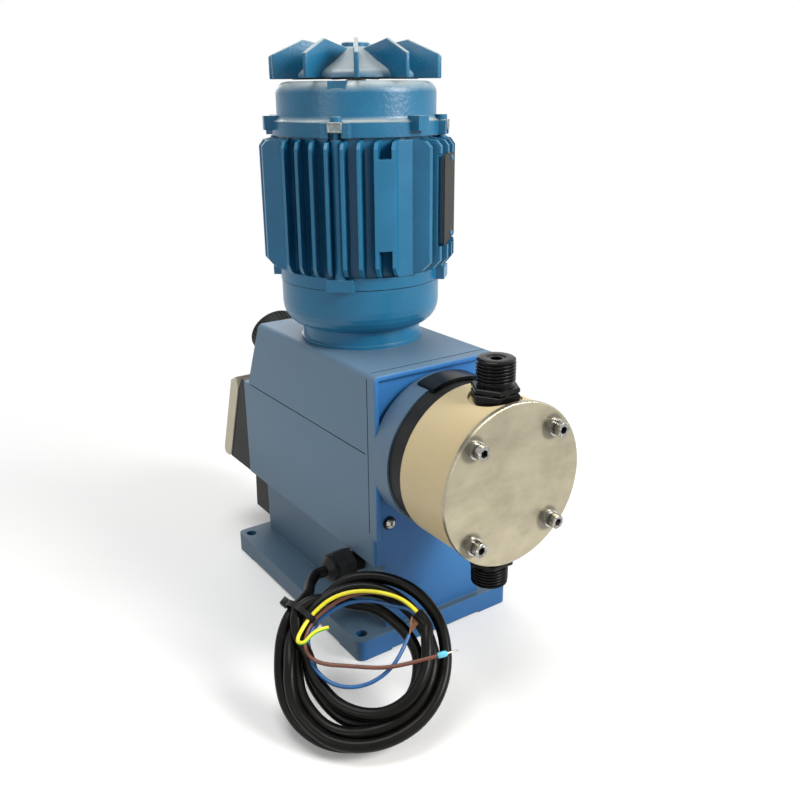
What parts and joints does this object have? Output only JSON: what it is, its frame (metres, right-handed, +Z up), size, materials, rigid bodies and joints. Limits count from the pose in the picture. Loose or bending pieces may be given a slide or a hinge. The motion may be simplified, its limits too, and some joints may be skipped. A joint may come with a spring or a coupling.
{
  "type": "diaphragm metering pump",
  "caption": "Motor-driven diaphragm metering pump: finned vertical motor on a gear housing with a foot, round dosing head with ball valves, stroke knob and a coiled supply cable.",
  "frame": {"origin": "centre of the four foot holes on the mounting plane", "axes": "+Z up along the motor's axis, the liquid end points along -Y, +X to the right seen from the liquid end"},
  "size_m": [0.2347, 0.3846, 0.447],
  "materials": {
    "housing_blue": "satin, slightly grey-blue paint",
    "motor_blue": "satin paint with a light dusty bloom",
    "head_plastic": "smooth cream plastic",
    "stainless": "fine brushed, slightly warm",
    "screw_steel": "bright, machined",
    "black_plastic": "satin black",
    "beige_plastic": "smooth beige",
    "black_rubber": "matt",
    "bare_steel": "ground",
    "bronze": "machined bronze",
    "laminations": "stacked sheet steel",
    "copper": "varnished copper wire",
    "ceramic": "white ceramic",
    "plate_metal": "thin bare sheet",
    "cable_black": "semi-gloss black sheath",
    "core_earth": "yellow with green stripes",
    "core_brown": "brown insulation",
    "core_blue": "blue insulation",
    "ferrule_blue": "light blue collar"
  },
  "bodies": {
    "frame": {"gear_housing": "housing_blue", "top_hood": "housing_blue", "front_bezel": "housing_blue", "wall_screws": "screw_steel", "wall_screw_rings": "black_rubber", "lantern": "housing_blue", "lantern_cap": "black_plastic", "back_ring": "black_plastic", "diaphragm": "black_rubber", "dosing_head": "head_plastic", "end_plate": "stainless", "head_washers": "screw_steel", "head_screws": "screw_steel", "discharge_valve_body": "black_plastic", "discharge_valve_seat": "ceramic", "discharge_valve_seal": "black_rubber", "suction_valve_body": "black_plastic", "suction_valve_seat": "ceramic", "suction_valve_seal": "black_rubber", "motor_body": "motor_blue", "upper_shield": "motor_blue", "lower_shield": "motor_blue", "motor_screws": "screw_steel", "tie_bolts": "screw_steel", "rating_plate": "plate_metal", "stator_core": "laminations", "stator_winding": "copper", "motor_bearings": "bare_steel", "gear_bearings": "bare_steel", "bearing_caps": "bare_steel", "rod_bush": "bronze", "return_spring": "bare_steel", "spindle_guide": "bronze", "terminal_box": "black_plastic", "terminal_lid": "beige_plastic", "lid_screws": "screw_steel", "cable_gland": "black_plastic", "gland_nut": "black_plastic", "cable": "cable_black", "cable_coil": "cable_black", "zip_tie": "black_plastic", "earth_core": "core_earth", "brown_core": "core_brown", "blue_core": "core_blue", "core_ferrule": "ferrule_blue"},
    "motor_rotor": {"motor_shaft": "bare_steel", "rotor": "laminations", "worm": "bare_steel", "fan": "motor_blue", "fan_retainer": "motor_blue"},
    "gear_shaft": {"eccentric_shaft": "bare_steel", "worm_wheel": "bronze"},
    "rod": {"push_rod": "bare_steel", "diaphragm_core": "bare_steel"},
    "knob": {"stroke_knob": "black_plastic"},
    "spindle": {"stroke_spindle": "bare_steel"},
    "suction_ball": {"suction_valve_ball": "ceramic"},
    "discharge_ball": {"discharge_valve_ball": "ceramic"}
  },
  "joints": [
    {"name": "motor_spin", "type": "hinge", "parent": "frame", "child": "motor_rotor", "pos_m": [0, -0.004, 0.1625], "axis": [0, 0, 1], "continuous": true},
    {"name": "wheel_spin", "type": "hinge", "parent": "frame", "child": "gear_shaft", "pos_m": [0, 0.036, 0.1625], "axis": [1, 0, 0], "continuous": true},
    {"name": "rod_stroke", "type": "slide", "parent": "frame", "child": "rod", "axis": [0, -1, 0], "range_m": [0, 0.004], "deforming": ["return_spring", "diaphragm"]},
    {"name": "knob_turn", "type": "hinge", "parent": "frame", "child": "knob", "pos_m": [-0.02, 0.09006, 0.19281], "axis": [0, -0.9002, -0.4356], "range_deg": [0, 1080]},
    {"name": "spindle_travel", "type": "slide", "parent": "frame", "child": "spindle", "axis": [0, -0.9002, -0.4356], "range_m": [0, 0.00444]},
    {"name": "suction_ball_lift", "type": "slide", "parent": "frame", "child": "suction_ball", "axis": [0, 0, 1], "range_m": [0, 0.003]},
    {"name": "discharge_ball_lift", "type": "slide", "parent": "frame", "child": "discharge_ball", "axis": [0, 0, 1], "range_m": [0, 0.003]}
  ],
  "couplings": [
    {"joint": "wheel_spin", "follows": "motor_spin", "ratio": 0.066667},
    {"joint": "spindle_travel", "follows": "knob_turn", "m_per_rad": 0.00023574}
  ]
}
